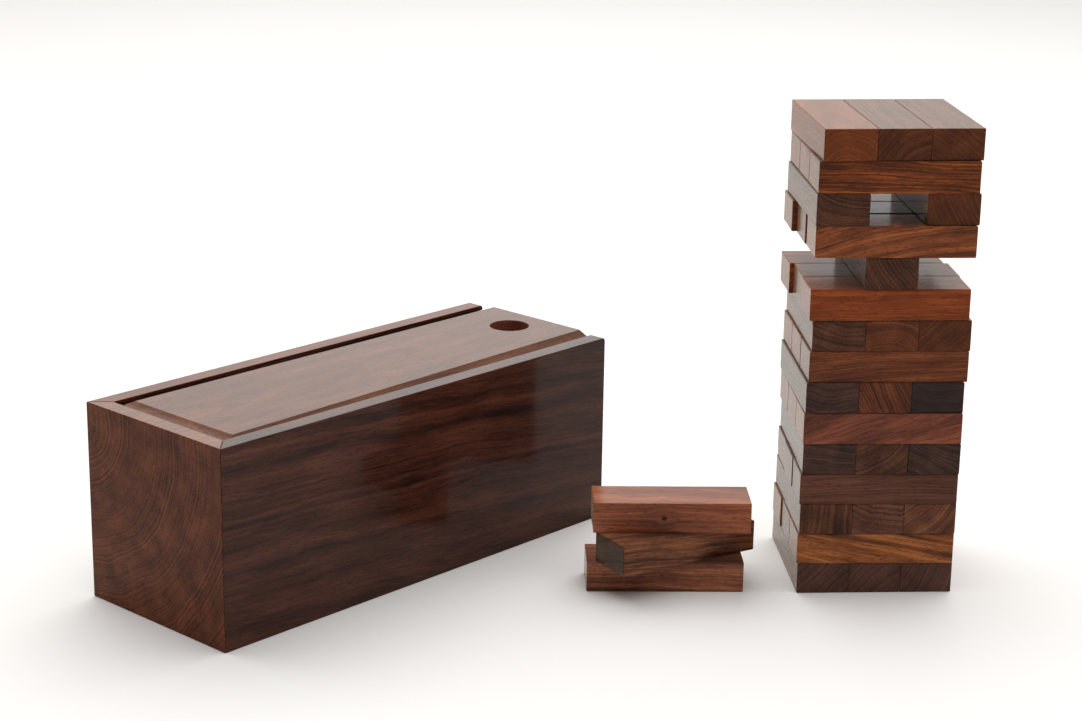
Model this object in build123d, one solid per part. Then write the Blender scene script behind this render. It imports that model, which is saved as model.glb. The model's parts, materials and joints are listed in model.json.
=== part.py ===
from build123d import *
import os

# A table-top stacking-tower game in dark hardwood, part-way through play, in millimetres.
# Forty-five equal blocks: forty-two stand in a tower of fifteen levels, and three lie in a loose
# pile beside it. The empty storage case with its sliding lid stands behind the pile.
#
# Origin: centre of the tower's base, on the table. +Z is up, and +X runs along the long sides of
# the even levels, away from the case. -Y is the front, the side that the players pull towards.

# Blocks. Three laid side by side are as wide as one is long.
BLOCK_LENGTH = 75.0
BLOCK_WIDTH = 24.8
BLOCK_HEIGHT = 14.98
BLOCK_PITCH = 24.9  # from one block's centre line to the next one's in a level
LEVEL_PITCH = 15.0  # from one level's underside to the next one's, so each block is free to slide
BLOCK_EASE = 0.5  # chamfer along every edge

# Tower. Each level's shift in X and Y from the bottom level, and its turn in degrees, from level 1
# up: the stack is built by hand, and play has pushed the upper levels out of line.
LEVEL_PLACES = [
    (0.0, 0.0, 0.0),
    (0.0, -0.6, -0.7),
    (0.2, -0.6, -0.4),
    (0.3, -0.6, -1.0),
    (0.8, -0.7, -1.1),
    (0.4, -0.8, -0.7),
    (0.2, 0.0, 0.0),
    (1.3, 1.1, 0.0),
    (2.0, 1.1, -0.1),
    (0.1, 0.3, 0.2),
    (0.0, 0.1, 0.0),
    (1.6, -0.1, -0.5),
    (0.8, 0.8, 0.9),
    (1.1, 0.8, 0.6),
    (1.5, 1.9, 2.2),
]
ACROSS_NAMES = ["left", "middle", "right"]  # odd levels: blocks end-on to the front
ALONG_NAMES = ["front", "middle", "back"]  # even levels: blocks side-on to the front
TAKEN_BLOCKS = ["level_11_left", "level_11_right", "level_13_middle"]
# Blocks that stand out of line within their own level: (in X, in Y), before the level's turn.
NUDGED_BLOCKS = {
    "level_02_back": (-0.6, 0.4),
    "level_04_middle": (-0.3, 0.0),
    "level_08_front": (0.0, -0.5),
    "level_10_middle": (0.5, 0.0),
    "level_10_back": (-1.5, 0.0),
    "level_12_middle": (-0.4, 1.9),
    "level_12_back": (-2.7, 2.7),
    "level_13_left": (-0.5, 0.0),
    "level_13_right": (1.1, 0.0),
}

# Loose pile: centre in X and Y, and turn in degrees, from the table up.
PILE_PLACES = {
    "pile_bottom": (-99.8, -21.9, -2.0),
    "pile_middle": (-94.6, -24.3, 27.4),
    "pile_top": (-97.2, -22.5, -2.1),
}

# Storage case, in its own frame: x from the closed end to the pull end, y from the front side to
# the back side, z up from the table.
CASE_LENGTH = 252.0
CASE_WIDTH = 96.0
CASE_HEIGHT = 96.0
WALL = 9.0
CASE_EASE = 0.6  # chamfer along the outer edges
END_CORNER_EASE = 1.6  # larger chamfer on the sides' top corners at the pull end
CASE_CORNER = (-304.4, -102.0)  # front corner of the closed end, on the table
CASE_TURN = 43.5  # degrees

# Bottom board, let into a rebate round the inside of the four walls.
BOTTOM_THICKNESS = 9.0
REBATE_DEPTH = 4.5

# Lid: a raised panel whose thin edges slide in grooves, with a finger hole near the pull end.
# Its flat top slopes up a little towards the pull end, and narrows as its side bevels widen.
LID_UNDERSIDE = 87.0  # height above the table
LID_SINK = 0.6  # how far the flat top lies below the rim at the closed end
LID_RISE = 0.8  # how far it stands above the rim at the pull end
TONGUE_THICKNESS = 6.0
GROOVE_DEPTH = 4.0
GROOVE_HEIGHT = 6.4
LID_CLEARANCE = 0.4  # between the lid's edge and the bottom of each groove
NARROW_BEVEL = 4.5  # from the sides' inner faces to the edge of the flat top, at the closed end
WIDE_BEVEL = 8.5  # the same, at the pull end
END_BEVEL = 9.0  # from the closed end's inner face to the edge of the flat top
FINGER_HOLE_RADIUS = 10.0
FINGER_HOLE_INSET = 20.5  # from the pull end to the hole's centre
FINGER_HOLE_EASE = 0.8

CASE_PLACE = Pos(*CASE_CORNER, 0) * Rot(0, 0, CASE_TURN)
MARGIN = 1.0  # how far a cutting solid runs past the face that it cuts


def span(low, high):
    """A box between two opposite corners."""
    size = [b - a for a, b in zip(low, high)]
    return Pos(*low) * Box(*size, align=(Align.MIN, Align.MIN, Align.MIN))


def prism(outline, height):
    """A vertical prism on a plan outline, from the table up."""
    return extrude(make_face(Polyline(*outline, close=True)), height)


def block():
    """One game block, lying along X, centred in X and Y, with its underside at z = 0."""
    base = (Align.CENTER, Align.CENTER, Align.MIN)
    plain = Box(BLOCK_LENGTH, BLOCK_WIDTH, BLOCK_HEIGHT, align=base)
    return chamfer(plain.edges(), BLOCK_EASE)


def tower_blocks():
    """Every block that stands in the tower, by node name."""
    blocks = {}
    for index, (shift_x, shift_y, turn) in enumerate(LEVEL_PLACES):
        level = index + 1
        across = level % 2 == 1
        level_place = Pos(shift_x, shift_y, index * LEVEL_PITCH) * Rot(0, 0, turn)
        for slot, side in enumerate(ACROSS_NAMES if across else ALONG_NAMES):
            name = f"level_{level:02d}_{side}"
            if name in TAKEN_BLOCKS:
                continue
            offset = (slot - 1) * BLOCK_PITCH
            nudge = Pos(*NUDGED_BLOCKS.get(name, (0, 0)), 0)
            in_level = Pos(offset, 0, 0) * Rot(0, 0, 90) if across else Pos(0, offset, 0)
            blocks[name] = level_place * nudge * in_level * block()
    return blocks


def pile_blocks():
    """The three loose blocks, one on another."""
    blocks = {}
    for index, (name, (x, y, turn)) in enumerate(PILE_PLACES.items()):
        blocks[name] = Pos(x, y, index * LEVEL_PITCH) * Rot(0, 0, turn) * block()
    return blocks


def inner_box(inset, low, high, far_end):
    """A box inside the case: `inset` from the outer faces of three walls, and up to x = far_end."""
    return span((inset, inset, low), (far_end, CASE_WIDTH - inset, high))


def case_walls():
    """The four walls: mitred at the closed end, with the low pull end fitted between the sides."""
    profile = [
        (0, 0, 0),
        (CASE_LENGTH, 0, 0),
        (CASE_LENGTH, 0, CASE_HEIGHT - END_CORNER_EASE),
        (CASE_LENGTH - END_CORNER_EASE, 0, CASE_HEIGHT),
        (0, 0, CASE_HEIGHT),
    ]
    outer = extrude(make_face(Polyline(*profile, close=True)), CASE_WIDTH, dir=(0, 1, 0))
    shell = chamfer(outer.edges(), CASE_EASE)

    pull_face = CASE_LENGTH - WALL
    groove = WALL - GROOVE_DEPTH
    rebate = WALL - REBATE_DEPTH
    open_end = CASE_LENGTH + MARGIN
    shell -= inner_box(WALL, -MARGIN, CASE_HEIGHT + MARGIN, pull_face)
    shell -= inner_box(WALL, LID_UNDERSIDE, CASE_HEIGHT + MARGIN, open_end)
    shell -= inner_box(groove, LID_UNDERSIDE, LID_UNDERSIDE + GROOVE_HEIGHT, open_end)
    shell -= inner_box(rebate, -MARGIN, BOTTOM_THICKNESS, CASE_LENGTH - rebate)

    end, back, near, far = CASE_LENGTH, CASE_WIDTH, WALL, CASE_WIDTH - WALL
    outlines = {
        "case_front_side": [(0, 0), (end, 0), (end, near), (near, near)],
        "case_back_side": [(0, back), (near, far), (end, far), (end, back)],
        "case_closed_end": [(0, 0), (near, near), (near, far), (0, back)],
        "case_pull_end": [(pull_face, near), (end, near), (end, far), (pull_face, far)],
    }
    return {name: shell & prism(outline, CASE_HEIGHT) for name, outline in outlines.items()}


def case_bottom():
    """The bottom board, which fills the rebate and is flush with the walls' underside."""
    rebate = WALL - REBATE_DEPTH
    return inner_box(rebate, 0, BOTTOM_THICKNESS, CASE_LENGTH - rebate)


def bevel_waste(x, bevel, top):
    """Section across the lid at x of what its front bevel takes off, as a face in the YZ plane."""
    tongue_top = LID_UNDERSIDE + TONGUE_THICKNESS
    above = CASE_HEIGHT + LID_RISE + 2 * MARGIN
    corners = [
        (0, tongue_top),
        (WALL, tongue_top),
        (WALL + bevel, top),
        (WALL + bevel, above),
        (0, above),
    ]
    return make_face(Polyline(*[(x, y, z) for y, z in corners], close=True))


def case_lid():
    """The sliding lid: a raised flat top, bevelled on both sides and at the closed end."""
    edge = WALL - GROOVE_DEPTH + LID_CLEARANCE
    above = CASE_HEIGHT + LID_RISE + 2 * MARGIN
    top_start, top_end = CASE_HEIGHT - LID_SINK, CASE_HEIGHT + LID_RISE
    lid = inner_box(edge, LID_UNDERSIDE, above, CASE_LENGTH)

    top_waste = [(0, top_start), (CASE_LENGTH, top_end), (CASE_LENGTH, above), (0, above)]
    top_face = make_face(Polyline(*[(x, 0, z) for x, z in top_waste], close=True))
    lid -= extrude(top_face, CASE_WIDTH, dir=(0, 1, 0))

    narrow = bevel_waste(0, NARROW_BEVEL, top_start)
    wide = bevel_waste(CASE_LENGTH, WIDE_BEVEL, top_end)
    front_cut = loft([narrow, wide], ruled=True)
    lid -= front_cut
    lid -= mirror(front_cut, Plane.XZ.offset(-CASE_WIDTH / 2))

    top_at_bevel = top_start + (top_end - top_start) * (WALL + END_BEVEL) / CASE_LENGTH
    end_waste = bevel_waste(0, END_BEVEL, top_at_bevel)
    end_cut = extrude(Rot(0, 0, -90) * end_waste, CASE_WIDTH, dir=(0, 1, 0))
    lid -= end_cut

    flat_top = lid.faces().filter_by(lambda face: face.normal_at().Z > 0.99).sort_by(Axis.Z)[-1]
    hole_x = CASE_LENGTH - FINGER_HOLE_INSET
    hole_centre = Pos(hole_x, CASE_WIDTH / 2, flat_top.center().Z)
    lid -= hole_centre * Cylinder(FINGER_HOLE_RADIUS, 4 * TONGUE_THICKNESS)
    flat_top = lid.faces().filter_by(lambda face: face.normal_at().Z > 0.99).sort_by(Axis.Z)[-1]
    return chamfer(flat_top.inner_wires()[0].edges(), FINGER_HOLE_EASE)


nodes = {**tower_blocks(), **pile_blocks()}
case_boards = {**case_walls(), "case_bottom": case_bottom(), "case_lid": case_lid()}
nodes.update({name: CASE_PLACE * board for name, board in case_boards.items()})

os.makedirs("parts", exist_ok=True)
for name, piece in nodes.items():
    export_step(piece, f"parts/{name}.step")
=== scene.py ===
import json
import math
import random

import bmesh
import bpy
import numpy as np
from mathutils import Matrix, Vector, noise


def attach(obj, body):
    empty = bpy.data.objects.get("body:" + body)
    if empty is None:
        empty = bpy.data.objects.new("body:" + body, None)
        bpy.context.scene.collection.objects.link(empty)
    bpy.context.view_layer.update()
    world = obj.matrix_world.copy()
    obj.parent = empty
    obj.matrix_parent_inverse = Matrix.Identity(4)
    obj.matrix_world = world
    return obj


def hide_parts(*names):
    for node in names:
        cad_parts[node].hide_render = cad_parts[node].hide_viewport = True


# Looks of the stacking-tower game: rosewood blocks, and a lacquered case with a sliding lid.
# Lengths are in metres, in the row frame: +X along the even levels, -Y to the front, +Z up.

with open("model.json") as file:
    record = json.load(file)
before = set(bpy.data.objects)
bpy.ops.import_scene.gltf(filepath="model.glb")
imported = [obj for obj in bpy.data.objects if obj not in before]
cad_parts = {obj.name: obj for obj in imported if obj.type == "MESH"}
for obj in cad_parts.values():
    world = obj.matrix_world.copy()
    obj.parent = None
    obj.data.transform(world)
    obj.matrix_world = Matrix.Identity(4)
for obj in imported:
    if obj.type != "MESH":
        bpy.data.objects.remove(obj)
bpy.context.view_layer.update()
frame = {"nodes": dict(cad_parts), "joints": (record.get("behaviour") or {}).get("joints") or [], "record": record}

MM = 0.001

# ------------------------------------------------------------------ camera

CAMERA_PLACE = Vector((-0.2301, -1.0840, 0.4288))
CAMERA_TURN = math.radians(3.758)  # to the right of +Y
CAMERA_DIP = math.radians(16.58)  # below the horizon
CAMERA_ROLL = math.radians(0.886)
LENS = 78.98  # mm, on a sensor 36 mm wide


def make_camera():
    data = bpy.data.cameras.new("camera")
    data.sensor_width, data.lens = 36.0, LENS
    data.clip_start, data.clip_end = 0.02, 50.0
    camera = bpy.data.objects.new("camera", data)
    bpy.context.scene.collection.objects.link(camera)
    forward = Vector((
        math.sin(CAMERA_TURN) * math.cos(CAMERA_DIP),
        math.cos(CAMERA_TURN) * math.cos(CAMERA_DIP),
        -math.sin(CAMERA_DIP),
    ))
    level_right = Vector((math.cos(CAMERA_TURN), -math.sin(CAMERA_TURN), 0.0))
    level_up = level_right.cross(forward)
    right = level_right * math.cos(CAMERA_ROLL) + level_up * math.sin(CAMERA_ROLL)
    up = level_up * math.cos(CAMERA_ROLL) - level_right * math.sin(CAMERA_ROLL)
    turn = Matrix((right, up, -forward)).transposed()
    camera.matrix_world = Matrix.Translation(CAMERA_PLACE) @ turn.to_4x4()
    bpy.context.scene.camera = camera


# ------------------------------------------------------------------ node trees


class Tree:
    """Shorthand for building a node tree: each call adds a node and links what it is given."""

    def __init__(self, tree):
        self.tree = tree

    def fill(self, node, inputs):
        for key, value in inputs.items():
            if isinstance(value, bpy.types.NodeSocket):
                self.tree.links.new(value, node.inputs[key])
            else:
                node.inputs[key].default_value = value

    def add(self, kind, inputs=None, **settings):
        node = self.tree.nodes.new(kind)
        for key, value in settings.items():
            setattr(node, key, value)
        self.fill(node, inputs or {})
        return node

    def math(self, operation, a, b=0.0, c=0.0):
        return self.add("ShaderNodeMath", {0: a, 1: b, 2: c}, operation=operation).outputs[0]

    def stretch(self, value, low, high, to_low=0.0, to_high=1.0):
        ends = {"Value": value, "From Min": low, "From Max": high, "To Min": to_low, "To Max": to_high}
        return self.add("ShaderNodeMapRange", ends, clamp=True).outputs["Result"]

    def vector(self, x, y, z):
        return self.add("ShaderNodeCombineXYZ", {"X": x, "Y": y, "Z": z}).outputs[0]

    def scaled(self, x, y, z, along, across, shift=0.0):
        """A point, scaled along the grain and across it, and shifted along it."""
        return self.vector(
            self.math("MULTIPLY_ADD", x, along, shift),
            self.math("MULTIPLY", y, across),
            self.math("MULTIPLY", z, across),
        )

    def noise(self, vector, detail, roughness=0.5):
        settings = {"Vector": vector, "Scale": 1.0, "Detail": detail, "Roughness": roughness}
        return self.add("ShaderNodeTexNoise", settings, noise_dimensions="3D")

    def times(self, colour, gain):
        product = self.add("ShaderNodeVectorMath", {0: colour, 1: gain}, operation="MULTIPLY")
        return product.outputs["Vector"]

    def mix(self, factor, a, b):
        return self.add("ShaderNodeMix", {0: factor, 6: a, 7: b}, data_type="RGBA").outputs[2]


# ------------------------------------------------------------------ floor and light

FRONT_LIGHT = 0.22  # radiance of the room in front of the object and to its right
BACK_LIGHT = 1.55  # radiance of the bright studio wall behind it
LOW_WALL = 0.62  # how bright the foot of that wall is, as a share of its upper part
STUDIO_WALL_WAY = (-0.20, 0.980, 0.0)  # the way to the middle of that wall
STUDIO_FADE = (-0.25, 0.85)  # cosine of the angle to it where the light starts to rise, and where it is full
STUDIO_FOOT = (0.10, 0.32)  # how far up, as a sine, the wall's foot reaches, and where its full light starts
ROOM_COLOUR = (1.0, 0.98, 0.955, 1.0)
FLOOR_SIZE = 8.0
FLOOR_COLOUR = (0.88, 0.868, 0.850, 1.0)


def softbox(name, place, target, width, height, radiance):
    """A large soft area light."""
    data = bpy.data.lights.new(name, "AREA")
    data.shape, data.size, data.size_y = "RECTANGLE", width, height
    data.energy = radiance * math.pi * width * height
    light = bpy.data.objects.new(name, data)
    bpy.context.scene.collection.objects.link(light)
    light.location = place
    light.rotation_euler = (Vector(target) - light.location).to_track_quat("-Z", "Y").to_euler()


def make_world():
    """A studio that is bright behind the object and fades smoothly to darker in front of it."""
    world = bpy.data.worlds.new("studio")
    bpy.context.scene.world = world
    world.use_nodes = True
    world.node_tree.nodes.clear()
    t = Tree(world.node_tree)
    way = t.add("ShaderNodeTexCoord").outputs["Generated"]
    along = t.add("ShaderNodeVectorMath", {0: way, 1: STUDIO_WALL_WAY}, operation="DOT_PRODUCT")
    ends = {
        "Value": along.outputs["Value"], "From Min": STUDIO_FADE[0], "From Max": STUDIO_FADE[1],
        "To Min": FRONT_LIGHT, "To Max": BACK_LIGHT,
    }
    strength = t.add("ShaderNodeMapRange", ends, interpolation_type="SMOOTHSTEP").outputs["Result"]
    height = t.add("ShaderNodeSeparateXYZ", {0: way}).outputs["Z"]
    strength = t.math("MULTIPLY", strength, t.stretch(height, *STUDIO_FOOT, LOW_WALL, 1.0))
    room = t.add("ShaderNodeBackground", {"Strength": strength, "Color": ROOM_COLOUR})
    t.add("ShaderNodeOutputWorld", {"Surface": room.outputs["Background"]})


def make_stage():
    make_world()
    softbox("top_light", (0.20, 0.25, 1.6), (-0.05, 0.0, 0.0), width=3.6, height=2.8, radiance=1.38)

    bpy.ops.mesh.primitive_plane_add(size=FLOOR_SIZE, location=(0.0, 0.0, 0.0))
    floor = bpy.context.object
    floor.name = "floor"
    material = bpy.data.materials.new("floor")
    material.use_nodes = True
    shader = material.node_tree.nodes["Principled BSDF"]
    shader.inputs["Base Color"].default_value = FLOOR_COLOUR
    shader.inputs["Roughness"].default_value = 0.9
    shader.inputs["Specular IOR Level"].default_value = 0.1
    floor.data.materials.append(material)
    view = bpy.context.scene.view_settings
    view.view_transform, view.look = "Standard", "None"
    view.exposure, view.gamma = 0.0, 1.0


# ------------------------------------------------------------------ rosewood

# Tones of rosewood: about the mean colour of a piece, in linear values. The last three are the case's.
TONES = {
    "ink": (0.038, 0.020, 0.017),
    "ebony": (0.078, 0.033, 0.024),
    "soot": (0.125, 0.052, 0.036),
    "smoke": (0.103, 0.035, 0.017),
    "umber": (0.119, 0.031, 0.009),
    "bark": (0.122, 0.043, 0.026),
    "cocoa": (0.155, 0.055, 0.032),
    "chestnut": (0.161, 0.041, 0.014),
    "walnut": (0.205, 0.070, 0.032),
    "sienna": (0.218, 0.051, 0.011),
    "russet": (0.234, 0.047, 0.009),
    "copper": (0.242, 0.064, 0.021),
    "cinnamon": (0.212, 0.060, 0.032),
    "amber": (0.265, 0.079, 0.024),
    "clay": (0.290, 0.098, 0.050),
    "brick": (0.305, 0.090, 0.042),
    "mahogany": (0.062, 0.0185, 0.0105),
    "burl": (0.135, 0.036, 0.0135),
    "lid_brown": (0.068, 0.0235, 0.0115),
}
DARK_SHARE = (0.22, 0.26, 0.34)  # the darkest streaks, as a share of the mean
MIDDLE_SHARE = (0.90, 0.88, 0.88)
LIGHT_SHARE = (1.70, 1.90, 1.80)
PORE_DARK = (0.003, 0.002, 0.002, 1.0)  # what the open pores darken towards
END_DARK = (0.012, 0.006, 0.004, 1.0)  # what end grain darkens towards
KNOT_DARK = (0.008, 0.005, 0.005, 1.0)

# Each finish's clear coat: its weight away from the flat tops, and its roughness. A coated piece's
# flat tops always have the full weight.
FINISHES = {"oiled": (0.0, 0.0), "satin": (0.45, 0.22), "panel": (0.12, 0.09), "lacquered": (1.0, 0.09)}
OILED = {"IOR": 1.19, "Sheen Weight": 0.155, "Sheen Roughness": 0.45, "Sheen Tint": (1.0, 0.84, 0.61, 1.0)}
COATED = {"IOR": 1.10, "Coat IOR": 1.22}
RELIEF_DEPTH = 0.12 * MM
PAINTED_HIGHLIGHT_CALM = 0.6  # share of the plain middle tone under the painted highlight on a satin board's top edge
# How far a face's normal points up where it starts to count as a top, and where it fully counts.
COATED_TOP = (0.972, 0.992)
# The painted highlight: faces that look up get a lighter colour, standing in for the reflection of the bright
# studio wall behind. These two masks say which faces get it.
PAINTED_HIGHLIGHT_FLAT = (0.985, 0.998)
PAINTED_HIGHLIGHT_BEVELLED = (0.80, 0.88)  # a panel's bevels count too


def rosewood_group():
    """A solid rosewood figure: growth rings round a pith that runs along X, fibres and pores along X.

    Its vector is in millimetres. The pith's place, the grain's slope and bow, the rings' width, the
    strength of the figure and the three colours differ from piece to piece."""
    group = bpy.data.node_groups.new("rosewood", "ShaderNodeTree")
    numbers = ("End", "Seed", "Pith Y", "Pith Z", "Slope", "Bow", "Ring", "Contrast", "Lines", "Waver")
    inputs = {
        "Vector": "NodeSocketVector",
        **dict.fromkeys(numbers, "NodeSocketFloat"),
        **dict.fromkeys(("Dark", "Middle", "Light"), "NodeSocketColor"),
    }
    outputs = {"Colour": "NodeSocketColor", "Dullness": "NodeSocketFloat", "Height": "NodeSocketFloat"}
    for way, sockets in (("INPUT", inputs), ("OUTPUT", outputs)):
        for name, kind in sockets.items():
            group.interface.new_socket(name, in_out=way, socket_type=kind)

    t = Tree(group)
    given = group.nodes.new("NodeGroupInput").outputs
    place = t.add("ShaderNodeSeparateXYZ", {0: given["Vector"]}).outputs
    x, y, z = place["X"], place["Y"], place["Z"]
    seed = given["Seed"]

    # Slow and quick waver of the grain, so that the rings and streaks wander along the piece.
    slow_noise = t.noise(t.scaled(x, y, z, 0.014, 0.045, seed), 1.0)
    slow = t.add("ShaderNodeSeparateXYZ", {0: slow_noise.outputs["Color"]}).outputs
    quick = t.noise(t.scaled(x, y, z, 0.05, 0.22, seed), 2.0).outputs["Fac"]
    waver = given["Waver"]
    shift_y = t.math("MULTIPLY", t.math("MULTIPLY_ADD", slow["X"], 10.0, -5.0), waver)
    shift_z = t.math("MULTIPLY_ADD", slow["Y"], 10.0, t.math("MULTIPLY_ADD", quick, 2.4, -6.2))
    shift_z = t.math("MULTIPLY", shift_z, waver)
    lean = t.math("MULTIPLY", x, t.math("MULTIPLY_ADD", x, given["Bow"], given["Slope"]))
    from_y = t.math("SUBTRACT", t.math("ADD", y, shift_y), given["Pith Y"])
    from_z = t.math("SUBTRACT", t.math("ADD", t.math("ADD", z, lean), shift_z), given["Pith Z"])
    radius = t.math("SQRT", t.math("ADD", t.math("POWER", from_y, 2.0), t.math("POWER", from_z, 2.0)))

    # Rings: uneven bands along the radius, and thin dark lines between them.
    ring_at = t.math("ADD", t.math("DIVIDE", radius, given["Ring"]), t.math("MULTIPLY", seed, 7.3))
    settings = {"W": ring_at, "Scale": 1.0, "Detail": 3.0, "Roughness": 0.6}
    band = t.add("ShaderNodeTexNoise", settings, noise_dimensions="1D").outputs["Fac"]
    band = t.stretch(band, 0.30, 0.70)
    settings = {"W": t.math("ADD", ring_at, 57.0), "Scale": 1.3, "Detail": 1.0, "Roughness": 0.5}
    crossing = t.add("ShaderNodeTexNoise", settings, noise_dimensions="1D").outputs["Fac"]
    line = t.stretch(t.math("ABSOLUTE", t.math("SUBTRACT", crossing, 0.5)), 0.015, 0.085, 1.0, 0.0)

    # Broad dark and light patches, long along the grain.
    patch_at = t.scaled(x, from_y, from_z, 0.022, 0.10, t.math("MULTIPLY", seed, 3.1))
    patch = t.stretch(t.noise(patch_at, 2.0).outputs["Fac"], 0.30, 0.70)

    # Fibres: fine lines along the grain, dots on the end grain.
    fibre_at = t.scaled(x, from_y, from_z, 0.060, 1.5, seed)
    fibre = t.stretch(t.noise(fibre_at, 3.0, 0.6).outputs["Fac"], 0.25, 0.75)
    fine = t.noise(t.scaled(x, y, z, 0.30, 5.0), 2.0).outputs["Fac"]

    figure = t.math("MULTIPLY_ADD", band, 0.56, t.math("MULTIPLY", patch, 0.44))
    figure = t.math("ADD", figure, t.math("MULTIPLY_ADD", fibre, 0.60, -0.30))
    figure = t.math("ADD", figure, t.math("MULTIPLY_ADD", fine, 0.44, -0.22))
    contrast = t.math("MULTIPLY", given["Contrast"], t.math("MULTIPLY_ADD", given["End"], -0.30, 1.0))
    spread_out = t.math("MULTIPLY_ADD", t.math("SUBTRACT", figure, 0.50), contrast, 0.5)
    lower = t.stretch(spread_out, 0.0, 0.5)
    upper = t.stretch(spread_out, 0.5, 1.0)
    colour = t.mix(upper, t.mix(lower, given["Dark"], given["Middle"]), given["Light"])
    strength = t.math("MULTIPLY", line, given["Lines"])
    strength = t.math("MULTIPLY", strength, t.math("MULTIPLY_ADD", patch, -0.5, 1.0))
    colour = t.mix(strength, colour, given["Dark"])

    # Pores: open vessels, about a third of a millimetre wide and two millimetres long.
    pore_at = t.scaled(x, y, z, 0.20, 1.15, seed)
    cells = t.add("ShaderNodeTexVoronoi", {"Vector": pore_at, "Scale": 1.0}, feature="F1")
    pore = t.stretch(cells.outputs["Distance"], 0.14, 0.27, 1.0, 0.0)
    colour = t.mix(t.math("MULTIPLY", pore, 0.70), colour, t.mix(0.6, given["Dark"], PORE_DARK))
    # End grain drinks more oil, so it is a little darker.
    colour = t.mix(t.math("MULTIPLY", given["End"], 0.12), colour, END_DARK)

    dullness = t.math("ADD", t.math("MULTIPLY", pore, 0.20), t.math("MULTIPLY", fine, 0.10))
    height = t.math("SUBTRACT", t.math("MULTIPLY", fibre, 0.30), pore)
    out = group.nodes.new("NodeGroupOutput")
    for name, value in (("Colour", colour), ("Dullness", dullness), ("Height", height)):
        group.links.new(value, out.inputs[name])
    return group


def wood(name, group, tone, seed, pith, *, slope=0.0, bow=0.0, ring=3.0, contrast=1.0, lines=0.6,
         waver=0.7, grain=None, knot=None, edge=None, ends=None, cut=None, finish="oiled"):
    """A rosewood material on a piece's own axes.

    grain turns the axes so that X runs along the grain, and knot is a place (along, up) in mm. edge is a
    painted highlight: a colour gain for the faces that look up, which stands in for the reflection of the
    bright studio wall behind. ends is a colour gain for the end grain. cut is painted light on the shaded
    wall of a round hole: its gain, then the hole's place (along, across) and its radius in mm."""
    material = bpy.data.materials.new(name)
    material.use_nodes = True
    t = Tree(material.node_tree)
    own = t.add("ShaderNodeTexCoord").outputs
    height = t.add("ShaderNodeSeparateXYZ", {0: own["Normal"]}).outputs["Z"]
    in_mm = {"Vector": own["Object"], "Scale": (1 / MM, 1 / MM, 1 / MM)}
    place, normal = t.add("ShaderNodeMapping", in_mm).outputs[0], own["Normal"]
    if grain is not None:
        place, normal = (
            t.add("ShaderNodeMapping", {"Vector": v, "Rotation": grain}).outputs[0] for v in (place, normal)
        )
    if knot is not None:
        place, from_knot = round_knot(t, place, knot)

    facing = t.add("ShaderNodeSeparateXYZ", {0: normal}).outputs["X"]
    end_grain = t.stretch(t.math("ABSOLUTE", facing), 0.55, 0.95)
    dark, middle, light = (
        tuple(c * s for c, s in zip(TONES[tone], share)) + (1.0,)
        for share in (DARK_SHARE, MIDDLE_SHARE, LIGHT_SHARE)
    )
    figure = t.add("ShaderNodeGroup", node_tree=group)
    t.fill(figure, {
        "Vector": place, "End": end_grain, "Seed": seed, "Pith Y": pith[0], "Pith Z": pith[1],
        "Slope": slope, "Bow": bow, "Ring": ring, "Waver": waver, "Contrast": contrast, "Lines": lines,
        "Dark": dark, "Middle": middle, "Light": light,
    })

    colour = figure.outputs["Colour"]
    if knot is not None:
        colour = t.mix(t.stretch(from_knot, 0.9, 1.7, 0.92, 0.0), colour, KNOT_DARK)
    # Painted highlight: faces that look up get a lighter colour, standing in for the reflection of the bright wall
    # behind; on a satin board the figure under it is partly evened out.
    if edge is not None:
        even = t.mix(PAINTED_HIGHLIGHT_CALM, colour, middle) if finish == "satin" else colour
        tops = PAINTED_HIGHLIGHT_BEVELLED if finish == "panel" else PAINTED_HIGHLIGHT_FLAT
        colour = t.mix(t.stretch(height, *tops), colour, t.times(even, edge))
    if ends is not None:
        colour = t.mix(end_grain, colour, t.times(colour, ends))
    # Painted light: the shaded wall of the finger hole is made lighter, standing in for light that reaches into
    # the hole.
    if cut is not None:
        gain, hole, radius = cut
        colour = t.mix(painted_hole_light_mask(t, place, height, hole, radius), colour, t.times(colour, gain))
    fill_shader(t, colour, figure.outputs, height, finish)
    return material


def fill_shader(t, colour, figure, height, finish):
    """Gives the shader its colour and relief, then oil and sheen, or a clear coat."""
    coat, coat_roughness = FINISHES[finish]
    coated = coat > 0.0
    relief = {"Height": figure["Height"], "Strength": 0.10 if coated else 0.15, "Distance": RELIEF_DEPTH}
    surface = {
        "Base Color": colour,
        "Roughness": t.math("ADD", figure["Dullness"], 0.30 if coated else 0.13),
        "Normal": t.add("ShaderNodeBump", relief).outputs["Normal"],
    }
    if coated:
        surface.update(COATED)
        surface["Coat Weight"] = coat if coat == 1.0 else t.stretch(height, *COATED_TOP, coat, 1.0)
        surface["Coat Roughness"] = coat_roughness
    else:
        surface.update(OILED)
    t.fill(t.tree.nodes["Principled BSDF"], surface)


def painted_hole_light_mask(t, place, height, hole, radius):
    """A mask, in mm, for the painted light on a hole's shaded wall: one near a hole at (along, across) where the
    face doesn't look up, else nought.
    """
    in_plan = t.add("ShaderNodeMapping", {"Vector": place, "Scale": (1.0, 1.0, 0.0)}).outputs[0]
    apart = t.add("ShaderNodeVectorMath", {0: in_plan, 1: (*hole, 0.0)}, operation="DISTANCE")
    near = t.stretch(apart.outputs["Value"], radius + 0.2, radius + 0.6, 1.0, 0.0)
    return t.math("MULTIPLY", near, t.stretch(height, 0.3, 0.6, 1.0, 0.0))


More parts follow.
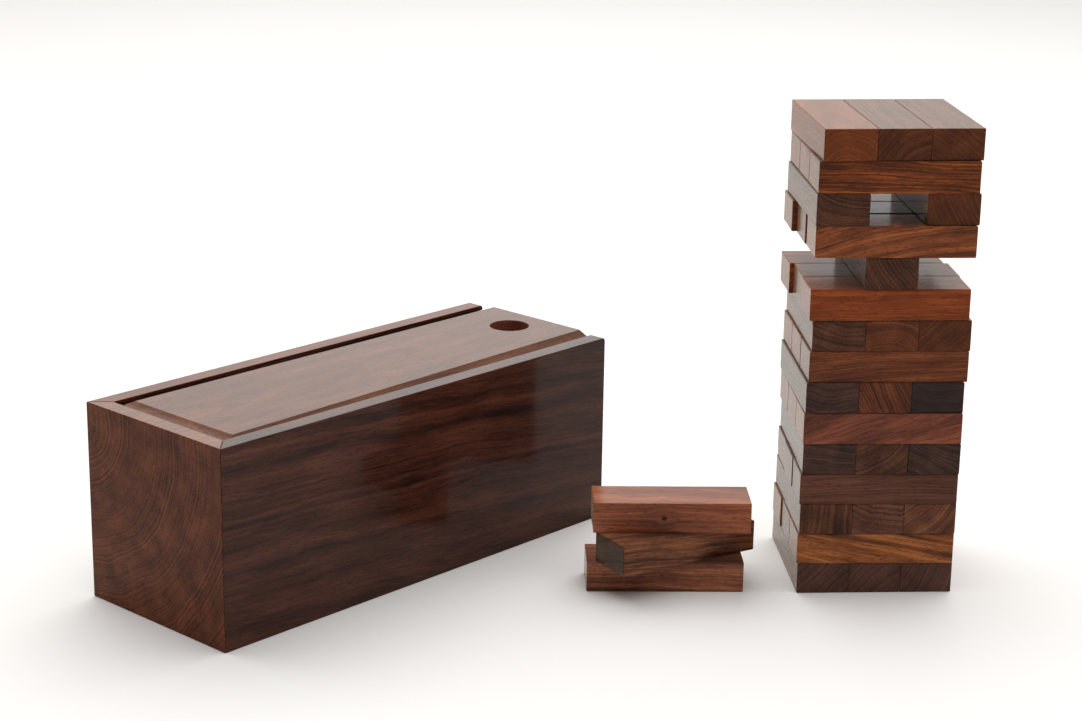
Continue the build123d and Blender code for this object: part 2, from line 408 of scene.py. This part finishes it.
def round_knot(t, vector, knot):
    """Makes the grain flow round a knot on a long face. Gives the new vector and the distance to it."""
    spot = t.add("ShaderNodeSeparateXYZ", {0: vector}).outputs
    along, up = t.math("SUBTRACT", spot["X"], knot[0]), t.math("SUBTRACT", spot["Z"], knot[1])
    distance = t.math("SQRT", t.math("ADD", t.math("POWER", along, 2.0), t.math("POWER", up, 2.0)))
    calm = t.stretch(distance, 0.5, 8.0, 0.10, 1.0)
    lifted = t.math("MULTIPLY_ADD", up, calm, knot[1])
    return t.vector(spot["X"], spot["Y"], lifted), distance


# ------------------------------------------------------------------ mesh helpers


def mesh_object(name, mesh, material, body, node, place):
    """Puts a finished mesh in the scene in place of a CAD node, riding on its body."""
    mesh.materials.append(material)
    piece = bpy.data.objects.new(name, mesh)
    bpy.context.scene.collection.objects.link(piece)
    piece.matrix_world = place
    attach(piece, body)
    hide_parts(node)


def spread(half, radius, step):
    """Grid lines from -half to half: close together over the rounded edges, about step apart between."""
    edge = [radius * f for f in (0.0, 0.18, 0.42, 0.70, 1.0)]
    inner = half - edge[-1]
    count = max(2, round(2 * inner / step))
    middle = [-inner + 2 * inner * i / count for i in range(1, count)]
    return [-half + e for e in edge] + middle + [half - e for e in reversed(edge)]


def worn_block(name, size, radius, rng):
    """A block with softly rounded edges: the radius varies along them, with a few small dents."""
    half = [s / 2 for s in size]
    lines = [spread(h, radius * 1.5, BLOCK_GRID) for h in half]
    drift = Vector((rng.uniform(-50, 50), rng.uniform(-50, 50), rng.uniform(-50, 50)))
    dents = []
    for _ in range(rng.randint(2, 5)):
        along = rng.randrange(3)
        spot = [rng.choice((-1, 1)) * h for h in half]
        spot[along] = rng.uniform(-0.95, 0.95) * half[along]
        dents.append((Vector(spot), rng.uniform(0.7, 1.8) * MM, rng.uniform(0.2, 0.55) * MM))

    mesh = bpy.data.meshes.new(name)
    bm = bmesh.new()
    seen = {}
    normals = []

    def vertex(point):
        key = tuple(round(c, 7) for c in point)
        if key not in seen:
            p = Vector(point)
            r = radius * (1.0 + BLOCK_WEAR * noise.noise(p * WEAR_FREQUENCY + drift))
            for spot, reach, depth in dents:
                r += depth * math.exp(-((p - spot).length / reach) ** 2)
            core = Vector([max(-(h - r), min(h - r, c)) for c, h in zip(p, half)])
            out = (p - core).normalized()
            seen[key] = bm.verts.new(core + out * r)
            normals.append(out)
        return seen[key]

    for axis in range(3):
        a, b = (axis + 1) % 3, (axis + 2) % 3
        for side in (-1, 1):
            for i in range(len(lines[a]) - 1):
                for j in range(len(lines[b]) - 1):
                    corners = []
                    for da, db in ((0, 0), (1, 0), (1, 1), (0, 1)):
                        point = [0.0, 0.0, 0.0]
                        point[axis] = side * half[axis]
                        point[a], point[b] = lines[a][i + da], lines[b][j + db]
                        corners.append(vertex(point))
                    if side < 0:
                        corners.reverse()
                    bm.faces.new(corners)
    bm.to_mesh(mesh)
    bm.free()
    mesh.shade_smooth()
    mesh.normals_split_custom_set_from_vertices(normals)
    return mesh


SHARP = math.radians(30)  # an edge that bends more than this is rounded


def round_edges(bm, edges, radius, segments):
    bmesh.ops.bevel(
        bm, geom=edges, offset=radius, segments=segments, affect="EDGES", profile=0.5, clamp_overlap=True,
    )


def swept_board(name, outline, start, end, ease, place=Matrix(), big_edges=(), rebate=None):
    """A board: a closed outline of (depth, height) carried from start(depth) to end(depth), then placed.

    Every sharp edge is rounded by ease. big_edges lists (test, radius) for edges rounded more, and
    rebate is a box, as two opposite corners, that is cut away from the placed board."""
    bm = bmesh.new()
    near = [bm.verts.new((start(d), d, z)) for d, z in outline]
    far = [bm.verts.new((end(d), d, z)) for d, z in outline]
    bm.faces.new(near)
    bm.faces.new(list(reversed(far)))
    count = len(outline)
    for i in range(count):
        j = (i + 1) % count
        bm.faces.new((near[j], near[i], far[i], far[j]))
    bmesh.ops.recalc_face_normals(bm, faces=bm.faces)
    for test, radius in big_edges:
        chosen = [e for e in bm.edges if test(*(v.co for v in e.verts))]
        round_edges(bm, chosen, radius, 6)
    sharp = [e for e in bm.edges if len(e.link_faces) == 2 and e.calc_face_angle(0.0) > SHARP]
    round_edges(bm, sharp, ease, 3)
    bm.transform(place)
    bmesh.ops.recalc_face_normals(bm, faces=bm.faces)
    mesh = bpy.data.meshes.new(name)
    bm.to_mesh(mesh)
    bm.free()
    if rebate is not None:
        low, high = (Vector(corner) for corner in rebate)
        cutter = bmesh.new()
        box = Matrix.Translation((low + high) / 2) @ Matrix.Diagonal((*(high - low), 1.0))
        bmesh.ops.create_cube(cutter, size=1.0, matrix=box)
        subtract(mesh, cutter)
    return soften(mesh)


def subtract(mesh, cutter):
    """Cuts a closed shape, given as a bmesh and used up here, out of a mesh."""
    cutter_mesh = bpy.data.meshes.new("cutter")
    cutter.to_mesh(cutter_mesh)
    cutter.free()
    tool = bpy.data.objects.new("cutter", cutter_mesh)
    stock = bpy.data.objects.new("stock", mesh)
    for o in (tool, stock):
        bpy.context.scene.collection.objects.link(o)
    cut = stock.modifiers.new("cut", "BOOLEAN")
    cut.operation, cut.solver, cut.object = "DIFFERENCE", "EXACT", tool
    result = bpy.data.meshes.new_from_object(stock.evaluated_get(bpy.context.evaluated_depsgraph_get()))
    bm = bmesh.new()
    bm.from_mesh(result)
    bm.to_mesh(mesh)
    bm.free()
    for o in (tool, stock):
        bpy.data.objects.remove(o)


def soften(mesh, angle=35):
    """Smooth shading over the rounded edges, with the flat faces left truly flat.

    angle is the largest bend, in degrees, that is still smoothed."""
    mesh.shade_smooth()
    mesh.set_sharp_from_angle(angle=math.radians(angle))
    holder = bpy.data.objects.new(mesh.name + "_holder", mesh)
    bpy.context.scene.collection.objects.link(holder)
    weights = holder.modifiers.new("weights", "WEIGHTED_NORMAL")
    weights.mode, weights.weight, weights.keep_sharp = "FACE_AREA", 100, True
    flat = bpy.data.meshes.new_from_object(holder.evaluated_get(bpy.context.evaluated_depsgraph_get()))
    bpy.data.objects.remove(holder)
    flat.name = mesh.name
    return flat


# ------------------------------------------------------------------ what the frame says

BODY_OF = {node: body for body, nodes in frame["record"]["behaviour"]["bodies"].items() for node in nodes}
SLOT_OF = {s["node"]: s["material_slot"] for s in frame["record"]["subparts"]}
BLOCKS = sorted(n for n in frame["nodes"] if n.startswith(("level_", "pile_")))


def points_of(node):
    return np.array([v.co for v in frame["nodes"][node].data.vertices], float)


def block_place(node):
    """Where a block lies: its centre, with X along its length."""
    points = points_of(node)
    centre = (points.min(0) + points.max(0)) / 2
    values, vectors = np.linalg.eigh(np.cov((points[:, :2] - centre[:2]).T))
    along = vectors[:, int(np.argmax(values))]
    odd = node.startswith("level_") and int(node[6:8]) % 2 == 1
    pull = np.array((0.0, -1.0)) if odd else np.array((1.0, 0.0))
    if along @ pull < 0:
        along = -along
    return Matrix.Translation(Vector(centre)) @ Matrix.Rotation(math.atan2(along[1], along[0]), 4, "Z")


# ------------------------------------------------------------------ blocks

BLOCK_SIZE = [75.0 * MM, 24.8 * MM, 14.98 * MM]
BLOCK_EDGE = 0.50 * MM  # mean radius of the rounded edges
BLOCK_WEAR = 0.45  # how far the radius strays from that mean, as a share of it
WEAR_FREQUENCY = 90  # how quickly it does so along an edge, per metre
BLOCK_GRID = 5 * MM  # about the size of the mesh's faces, away from the edges

# Each block's tone, its pith (across, up, in mm), and what else its figure needs.
# Blocks that aren't listed are drawn at random, with a fixed seed.
BLOCK_FIGURES = {
    "level_15_left": ("sienna", (-3, -17), dict(ring=1.8, lines=0.3, contrast=0.65)),
    "level_15_middle": ("umber", (14, -20), dict(ring=2.2, lines=0.6, contrast=0.9)),
    "level_15_right": ("umber", (-26, -34), dict(ring=2.4, lines=0.4, contrast=0.9)),
    "level_14_front": ("sienna", (-16, 70), dict(
        slope=0.02, bow=0.0006, ring=2.6, lines=0.9, contrast=1.2, waver=1.1,
    )),
    "level_13_left": ("smoke", (18, 60), dict(ring=2.4, lines=0.9)),
    "level_13_right": ("umber", (50, 20), dict(ring=1.4, lines=0.3)),
    "level_12_front": ("copper", (-16, -60), dict(slope=-0.20, bow=0.0016, ring=2.8, lines=0.6)),
    "level_11_middle": ("smoke", (48, 30), dict(ring=2.4, lines=0.8)),
    "level_10_front": ("russet", (-12, -90), dict(slope=-0.03, ring=3.6, lines=0.25, contrast=0.7)),
    "level_10_middle": ("chestnut", (-50, -40), dict(slope=0.03, ring=3.2)),
    "level_09_left": ("smoke", (10, 40), dict(ring=2.8, lines=0.7, contrast=1.2)),
    "level_09_middle": ("chestnut", (-4, -18), dict(ring=2.8, lines=0.5)),
    "level_09_right": ("umber", (-30, 26), dict(ring=3.0, lines=0.5)),
    "level_08_front": ("chestnut", (-20, -60), dict(slope=-0.10, bow=0.0012, ring=3.6, lines=0.7)),
    "level_07_left": ("ebony", (5, 70), dict(ring=2.2, lines=0.7)),
    "level_07_middle": ("chestnut", (52, 30), dict(ring=1.7, lines=0.9, contrast=1.2)),
    "level_07_right": ("ink", (4, 60), dict(ring=2.2, lines=0.5, contrast=0.6)),
    "level_06_front": ("cinnamon", (-60, 24), dict(slope=-0.30, ring=7.0, lines=0.15)),
    "level_05_left": ("ebony", (8, 55), dict(ring=2.2, lines=0.7)),
    "level_05_middle": ("smoke", (-16, 24), dict(ring=3.2, lines=0.6, contrast=1.3)),
    "level_05_right": ("ebony", (24, 46), dict(ring=2.2, lines=0.8, contrast=0.9)),
    "level_04_front": ("bark", (-14, -70), dict(slope=-0.02, ring=2.4, lines=0.4, contrast=0.7)),
    "level_03_left": ("smoke", (70, 4), dict(ring=3.6, lines=0.7, contrast=1.4)),
    "level_03_middle": ("cocoa", (4, 34), dict(ring=2.6, lines=0.7, contrast=1.2)),
    "level_03_right": ("walnut", (-46, 44), dict(ring=2.2, lines=0.8)),
    "level_02_front": ("amber", (-14, 60), dict(
        slope=0.22, bow=-0.0008, ring=3.8, lines=0.4, contrast=1.3,
    )),
    "level_01_left": ("soot", (-44, 44), dict(ring=2.2, lines=0.6, contrast=0.7)),
    "level_01_middle": ("soot", (44, -46), dict(ring=2.2, lines=0.6, contrast=0.7)),
    "level_01_right": ("soot", (-50, 30), dict(ring=2.6, lines=0.6, contrast=0.8)),
    "pile_bottom": ("clay", (-14, 60), dict(slope=0.02, ring=2.8, lines=0.7)),
    "pile_middle": ("walnut", (-20, -50), dict(
        slope=0.10, ring=3.4, lines=0.8, contrast=1.3, ends=(0.45, 0.62, 0.75),
    )),
    "pile_top": ("brick", (-14, -60), dict(
        slope=0.02, ring=3.0, lines=0.3, contrast=0.8, knot=(-3.9, 0.0),
    )),
}
TONE_OF_SLOT = {
    "rosewood_near_black": "ebony",
    "rosewood_dark": "umber",
    "rosewood_red": "sienna",
    "rosewood_warm": "chestnut",
    "rosewood_golden": "copper",
}


def random_figure(node, rng):
    pith = (rng.choice((-1, 1)) * rng.uniform(20, 60), rng.choice((-1, 1)) * rng.uniform(20, 60))
    looks = dict(slope=rng.uniform(-0.08, 0.08), ring=rng.uniform(2.2, 3.8), lines=rng.uniform(0.4, 0.8))
    return TONE_OF_SLOT[SLOT_OF[node]], pith, looks


def make_blocks(group):
    for index, node in enumerate(BLOCKS):
        rng = random.Random(1000 + index)
        tone, pith, looks = random_figure(node, rng)
        tone, pith, looks = BLOCK_FIGURES.get(node, (tone, pith, looks))
        material = wood(node, group, tone, 3.7 * index + 1.3, pith, **looks)
        mesh = worn_block(node, BLOCK_SIZE, BLOCK_EDGE, rng)
        mesh_object(node + "_block", mesh, material, BODY_OF[node], node, block_place(node))


# ------------------------------------------------------------------ case

CASE_NODES = [n for n in frame["nodes"] if n.startswith("case_")]
LONG_WAY = Vector(next(j["axis"] for j in frame["joints"] if j["name"] == "lid_slide"))  # to the pull end
WALL = 9.0 * MM
GROOVE = 4.0 * MM  # depth of the grooves that hold the lid
GROOVE_HIGH = 6.4 * MM
REBATE = 4.5 * MM  # depth of the rebate that holds the bottom board
BOTTOM = 9.0 * MM
LID_UNDER = 87.0 * MM  # height of the lid's underside above the table
LID_SINK = 0.6 * MM  # how far the lid's flat top lies below the rim at the closed end
TONGUE = 6.0 * MM  # thickness of the lid's edge, which slides in the grooves
LID_GAP = 0.4 * MM  # between the lid's edge and the bottom of each groove
NARROW_BEVEL = 4.5 * MM  # the side bevels' width beyond the walls, at the closed end
WIDE_BEVEL = 8.5 * MM  # the same, at the pull end
END_BEVEL = 9.0 * MM  # the closed end's bevel
HOLE_RADIUS = 10.0 * MM
HOLE_INSET = 20.5 * MM  # from the pull end to the finger hole's centre
BOARD_EASE = 0.45 * MM  # radius of the walls' edges
BOTTOM_EASE = 0.25 * MM
END_CORNER_EASE = 1.6 * MM  # radius of the sides' top corners at the pull end
TONGUE_EASE = 0.3 * MM  # how far the lid's edges are eased: along the underside of its tongue
SHOULDER_EASE = 0.4 * MM  # along the top of its tongue
LID_END_EASE = 0.4 * MM  # round the face of its pull end
HOLE_EASE = 0.3 * MM  # round both rims of its finger hole
# The lid's bevels end in a soft edge: how far past each bevel's end, and at which share of its height.
BEVEL_ENDS = [(-0.35 * MM, 0.93), (-0.12 * MM, 0.98), (0.15 * MM, 1.0)]
BEVEL_GAP = 0.2 * MM  # from the walls' inner faces to the foot of the bevels
LID_SMOOTH = 25  # degrees: below the bend where two of its bevels meet, so that they stay crisp
TINY = 1e-6


def case_frame():
    """The case's own frame (x to the pull end, y to the back side), then its length, width, the height
    of its rim and the height of the lid's top."""
    points = np.vstack([points_of(n) for n in CASE_NODES])
    across = Vector((-LONG_WAY.y, LONG_WAY.x, 0.0))
    along, back = points @ np.array(LONG_WAY), points @ np.array(across)
    corner = LONG_WAY * along.min() + across * back.min()
    turn = math.atan2(LONG_WAY.y, LONG_WAY.x)
    place = Matrix.Translation(corner) @ Matrix.Rotation(turn, 4, "Z")
    rim = points_of("case_front_side")[:, 2].max()
    return place, along.max() - along.min(), back.max() - back.min(), rim, points[:, 2].max()


def side_outline(rim, groove):
    """Section of a wall, from its outer face in, with the lid's groove near the top."""
    return [
        (0.0, 0.0), (0.0, rim), (WALL, rim), (WALL, groove + GROOVE_HIGH),
        (WALL - GROOVE, groove + GROOVE_HIGH), (WALL - GROOVE, groove), (WALL, groove), (WALL, 0.0),
    ]


def lid_mesh(length, width, rim, top):
    """The lid: a raised panel with eased bevels on three sides, and a round finger hole.

    Its flat top slopes up from the closed end to the pull end, and its side bevels widen."""
    edge = WALL - GROOVE + LID_GAP
    shoulder = LID_UNDER + TONGUE
    low_top = rim - LID_SINK
    # Rings of corners from the underside up: how far in at the closed end and on the sides at either end,
    # then the height at either end.
    rings = [
        (edge + TONGUE_EASE,) * 3 + (LID_UNDER,) * 2,
        (edge,) * 3 + (LID_UNDER + TONGUE_EASE,) * 2,
        (edge,) * 3 + (shoulder - SHOULDER_EASE,) * 2,
        (edge + SHOULDER_EASE,) * 3 + (shoulder,) * 2,
        (WALL + BEVEL_GAP,) * 3 + (shoulder,) * 2,
    ]
    for past, share in BEVEL_ENDS:
        insets = tuple(WALL + bevel + past for bevel in (END_BEVEL, NARROW_BEVEL, WIDE_BEVEL))
        rings.append(insets + tuple(shoulder + (high - shoulder) * share for high in (low_top, top)))

    bm = bmesh.new()
    loops = []
    for end, narrow, wide, low, high in rings:
        near_side = [(end, narrow, low), (length, wide, high)]
        far_side = [(x, width - y, z) for x, y, z in reversed(near_side)]
        loops.append([bm.verts.new(spot) for spot in near_side + far_side])
    for a, b in zip(loops, loops[1:]):
        for i, j in ((0, 1), (2, 3), (3, 0)):
            bm.faces.new((a[i], a[j], b[j], b[i]))
    bm.faces.new(list(reversed(loops[0])))
    bm.faces.new(loops[-1])
    bm.faces.new([loop[1] for loop in loops] + [loop[2] for loop in reversed(loops)])
    bmesh.ops.recalc_face_normals(bm, faces=bm.faces)
    at_pull_end = [e for e in bm.edges if all(v.co.x > length - TINY for v in e.verts)]
    round_edges(bm, [e for e in at_pull_end if e.calc_face_angle(0.0) > SHARP], LID_END_EASE, 3)
    mesh = bpy.data.meshes.new("case_lid")
    bm.to_mesh(mesh)
    bm.free()
    hole_x = length - HOLE_INSET
    cut_hole(mesh, Vector((hole_x, width / 2, 0.0)), LID_UNDER, low_top + (top - low_top) * hole_x / length)
    return soften(mesh, LID_SMOOTH)


def cut_hole(mesh, centre, low, high):
    """Cuts the finger hole, with its rims rounded over."""
    flare = 1.5 * MM  # how far the cutter widens past each rim
    quarter = [math.pi / 12 * i for i in range(7)]
    profile = [(HOLE_RADIUS + HOLE_EASE + flare, high + flare)]
    for a in quarter:
        out, down = HOLE_EASE * (1 - math.sin(a)), HOLE_EASE * (1 - math.cos(a))
        profile.append((HOLE_RADIUS + out, high - down))
    for a in quarter:
        out, up = HOLE_EASE * (1 - math.cos(a)), HOLE_EASE * (1 - math.sin(a))
        profile.append((HOLE_RADIUS + out, low + up))
    profile.append((HOLE_RADIUS + HOLE_EASE + flare, low - flare))
    bm = bmesh.new()
    count = 72
    turns = [2 * math.pi * k / count for k in range(count)]
    rows = []
    for r, z in profile:
        spots = [(centre.x + r * math.cos(a), centre.y + r * math.sin(a), z) for a in turns]
        rows.append([bm.verts.new(spot) for spot in spots])
    for a, b in zip(rows, rows[1:]):
        for k in range(count):
            n = (k + 1) % count
            bm.faces.new((a[k], b[k], b[n], a[n]))
    bm.faces.new(rows[0])
    bm.faces.new(list(reversed(rows[-1])))
    bmesh.ops.recalc_face_normals(bm, faces=bm.faces)
    subtract(mesh, bm)


def case_meshes(length, width, rim, top):
    """Every board of the case and its lid, in the case's own frame."""
    side = side_outline(rim, LID_UNDER)
    inset = WALL - REBATE
    rebate = ((inset, inset, -MM), (length - inset, width - inset, BOTTOM))
    to_back = Matrix(((1, 0, 0, 0), (0, -1, 0, width), (0, 0, 1, 0), (0, 0, 0, 1)))
    to_closed_end = Matrix(((0, 1, 0, 0), (1, 0, 0, 0), (0, 0, 1, 0), (0, 0, 0, 1)))
    to_pull_end = Matrix(((0, -1, 0, length), (1, 0, 0, 0), (0, 0, 1, 0), (0, 0, 0, 1)))

    def top_end(a, b):
        return min(a.x, b.x) > length - TINY and min(a.z, b.z) > rim - TINY

    def board(name, outline, start, end, place=Matrix(), big_edges=()):
        return swept_board(name, outline, start, end, BOARD_EASE, place, big_edges, rebate)

    corner = [(top_end, END_CORNER_EASE)]
    front = board("case_front_side", side, lambda d: d, lambda d: length, big_edges=corner)
    back = board("case_back_side", side, lambda d: d, lambda d: length, to_back, corner)
    end = board("case_closed_end", side, lambda d: d, lambda d: width - d, to_closed_end)
    low = [(0.0, 0.0), (0.0, LID_UNDER), (WALL, LID_UNDER), (WALL, 0.0)]
    pull = board("case_pull_end", low, lambda d: WALL, lambda d: width - WALL, to_pull_end)
    plate = [(inset, 0.0), (inset, BOTTOM), (width - inset, BOTTOM), (width - inset, 0.0)]
    bottom = swept_board("case_bottom", plate, lambda d: inset, lambda d: length - inset, BOTTOM_EASE)
    return {
        "case_front_side": front, "case_back_side": back, "case_closed_end": end,
        "case_pull_end": pull, "case_bottom": bottom, "case_lid": lid_mesh(length, width, rim, top),
    }


# Each board's tone, its pith (back, up, in mm, in the case's own frame) and the rest of its figure. edge is a
# painted highlight on the faces that look up, and cut is painted light on the shaded wall of the lid's finger
# hole.
BOARD_FIGURES = {
    "case_front_side": ("mahogany", (-20, -140), dict(
        slope=0.05, bow=0.0001, ring=5.5, lines=0.12, contrast=1.05, waver=0.9,
    )),
    "case_back_side": ("mahogany", (110, 210), dict(
        slope=0.02, ring=2.8, lines=0.4, edge=(2.5, 2.1, 1.1), finish="satin",
    )),
    "case_closed_end": ("burl", (104, 90), dict(
        ring=1.1, lines=0.30, contrast=1.5, waver=0.5, edge=(1.5, 2.4, 3.4), finish="satin",
    )),
    "case_pull_end": ("mahogany", (60, -90), dict(ring=2.6, grain=(0.0, 0.0, math.radians(-90)))),
    "case_bottom": ("mahogany", (30, 120), dict(ring=3.0)),
    "case_lid": ("lid_brown", (48, -70), dict(
        slope=0.01, ring=1.6, lines=0.2, contrast=0.55, waver=0.3, finish="panel",
        edge=(1.95, 1.90, 1.55), cut=(4.2, 3.6, 4.2),
    )),
}


def make_case(group):
    place, length, width, rim, top = case_frame()
    for index, (node, mesh) in enumerate(case_meshes(length, width, rim, top).items()):
        tone, pith, looks = BOARD_FIGURES[node]
        looks = {"finish": "lacquered", **looks}
        # The painted light for the finger hole's shaded wall needs the hole's place and radius.
        if "cut" in looks:
            hole = (length - HOLE_INSET) / MM, width / 2 / MM
            looks["cut"] = (looks["cut"], hole, HOLE_RADIUS / MM)
        material = wood(node, group, tone, 11.0 + 12.3 * index, pith, **looks)
        mesh_object(node + "_board", mesh, material, BODY_OF[node], node, place)


# ------------------------------------------------------------------ everything

make_camera()
make_stage()
rosewood = rosewood_group()
make_blocks(rosewood)
make_case(rosewood)
